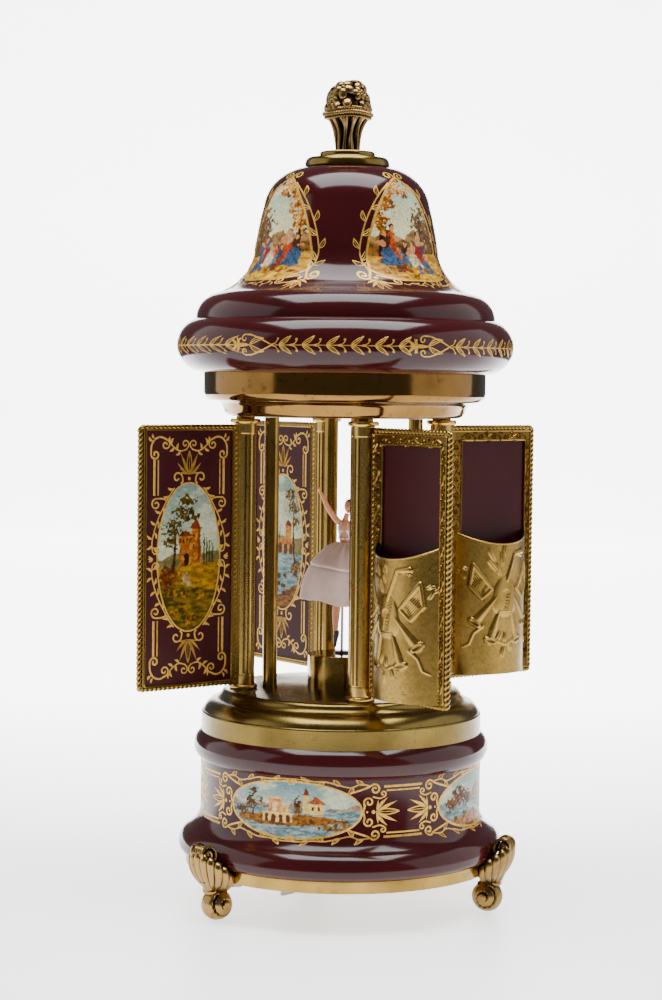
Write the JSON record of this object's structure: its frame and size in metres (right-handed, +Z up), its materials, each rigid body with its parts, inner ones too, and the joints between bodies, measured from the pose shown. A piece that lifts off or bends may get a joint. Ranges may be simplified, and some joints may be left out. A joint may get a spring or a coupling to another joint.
{
  "type": "carousel music box",
  "caption": "Round carousel music box: domed lacquered top on a brass cage, pocketed doors that swing open together, a turning dancer and a clockwork base on scroll feet.",
  "frame": {"origin": "on the floor under the middle of the round base, between the three feet", "axes": "+Z up along the axis of the box; the four door columns stand on +X, +Y, -X and -Y; one foot points to +Y"},
  "size_m": [0.1932, 0.1932, 0.37],
  "materials": {
    "lacquer": "deep glossy burgundy lacquer with gilt ornament",
    "lacquer_panel": "satin burgundy lacquer with gilt scrolls and an oval landscape",
    "bronze_tone": "polished bronze-toned brass",
    "antique_brass": "cast brass with darkened hollows",
    "embossed_brass": "pressed gilt brass, lightly worn",
    "brass": "polished brass",
    "painted_plastic": "moulded plastic painted by hand",
    "satin": "dull mauve satin",
    "dark_plastic": "dark moulded bush",
    "steel": "bright steel",
    "cast_alloy": "grey die casting"
  },
  "bodies": {
    "case": {"base_body": "lacquer", "base_screws": "steel", "base_top_plate": "brass", "bedplate": "cast_alloy", "bottom_plate": "brass", "comb": "steel", "comb_block": "cast_alloy", "comb_screws": "steel", "dancer_drum": "brass", "dome": "lacquer", "finial_seat": "brass", "foot_1": "antique_brass", "foot_2": "antique_brass", "foot_3": "antique_brass", "rod_1": "brass", "rod_2": "brass", "rod_3": "brass", "rod_4": "brass", "rod_nuts": "steel", "seat_nut": "steel", "shaft_bush": "brass", "spindle_bush": "dark_plastic", "top_plate": "bronze_tone", "train_plates": "brass"},
    "door_1": {"door_1_column": "brass", "door_1_frame": "embossed_brass", "door_1_panel": "lacquer_panel", "door_1_pocket": "embossed_brass", "door_1_pinion": "brass"},
    "door_2": {"door_2_column": "brass", "door_2_frame": "embossed_brass", "door_2_panel": "lacquer_panel", "door_2_pocket": "embossed_brass", "door_2_pinion": "brass"},
    "door_3": {"door_3_column": "brass", "door_3_frame": "embossed_brass", "door_3_panel": "lacquer_panel", "door_3_pocket": "embossed_brass", "door_3_pinion": "brass"},
    "door_4": {"door_4_column": "brass", "door_4_frame": "embossed_brass", "door_4_panel": "lacquer_panel", "door_4_pocket": "embossed_brass", "door_4_pinion": "brass"},
    "finial": {"finial_bouquet": "antique_brass", "finial_shaft": "steel", "sun_gear": "brass"},
    "dancer": {"dancer_spindle": "steel", "dancer_wheel": "brass", "dancer_figure": "painted_plastic", "dancer_skirt": "satin"},
    "barrel": {"spring_barrel": "brass", "mainspring": "steel"},
    "winder": {"winding_arbor": "steel", "winding_key": "brass"},
    "cylinder": {"tune_cylinder": "brass"},
    "second": {"second_wheel": "steel"},
    "fly_brake": {"fly": "steel"}
  },
  "joints": [
    {"name": "door_1_swing", "type": "hinge", "parent": "case", "child": "door_1", "pos_m": [0, -0.045, 0.1574], "axis": [0, 0, 1], "range_deg": [-162, 0]},
    {"name": "door_2_swing", "type": "hinge", "parent": "case", "child": "door_2", "pos_m": [-0.045, 0, 0.1574], "axis": [0, 0, 1], "range_deg": [-162, 0]},
    {"name": "door_3_swing", "type": "hinge", "parent": "case", "child": "door_3", "pos_m": [0, 0.045, 0.1574], "axis": [0, 0, 1], "range_deg": [-162, 0]},
    {"name": "door_4_swing", "type": "hinge", "parent": "case", "child": "door_4", "pos_m": [0.045, 0, 0.1574], "axis": [0, 0, 1], "range_deg": [-162, 0]},
    {"name": "bouquet_turn", "type": "hinge", "parent": "case", "child": "finial", "pos_m": [0, 0, 0.3], "axis": [0, 0, 1], "range_deg": [0, 59]},
    {"name": "barrel_turn", "type": "hinge", "parent": "case", "child": "barrel", "pos_m": [-0.02, 0, 0.034], "axis": [0, 0, 1], "continuous": true},
    {"name": "dancer_turn", "type": "hinge", "parent": "case", "child": "dancer", "pos_m": [0, 0, 0.1], "axis": [0, 0, 1], "continuous": true},
    {"name": "cylinder_turn", "type": "hinge", "parent": "case", "child": "cylinder", "pos_m": [-0.02, 0.026, 0.0435], "axis": [0, 1, 0], "continuous": true},
    {"name": "second_wheel_turn", "type": "hinge", "parent": "case", "child": "second", "pos_m": [-0.006, 0.042, 0.0435], "axis": [0, 1, 0], "continuous": true},
    {"name": "fly_turn", "type": "hinge", "parent": "case", "child": "fly_brake", "pos_m": [-0.006, 0.042, 0.0575], "axis": [0, 1, 0], "continuous": true},
    {"name": "key_turn", "type": "hinge", "parent": "case", "child": "winder", "pos_m": [-0.02, 0, 0.015], "axis": [0, 0, 1], "continuous": true}
  ],
  "couplings": [
    {"joint": "door_2_swing", "follows": "door_1_swing", "ratio": 1},
    {"joint": "door_3_swing", "follows": "door_1_swing", "ratio": 1},
    {"joint": "door_4_swing", "follows": "door_1_swing", "ratio": 1},
    {"joint": "bouquet_turn", "follows": "door_1_swing", "ratio": -0.36364},
    {"joint": "barrel_turn", "follows": "second_wheel_turn", "ratio": -0.041667},
    {"joint": "dancer_turn", "follows": "second_wheel_turn", "ratio": 0.125},
    {"joint": "cylinder_turn", "follows": "second_wheel_turn", "ratio": -0.16667},
    {"joint": "fly_turn", "follows": "second_wheel_turn", "ratio": -6}
  ]
}
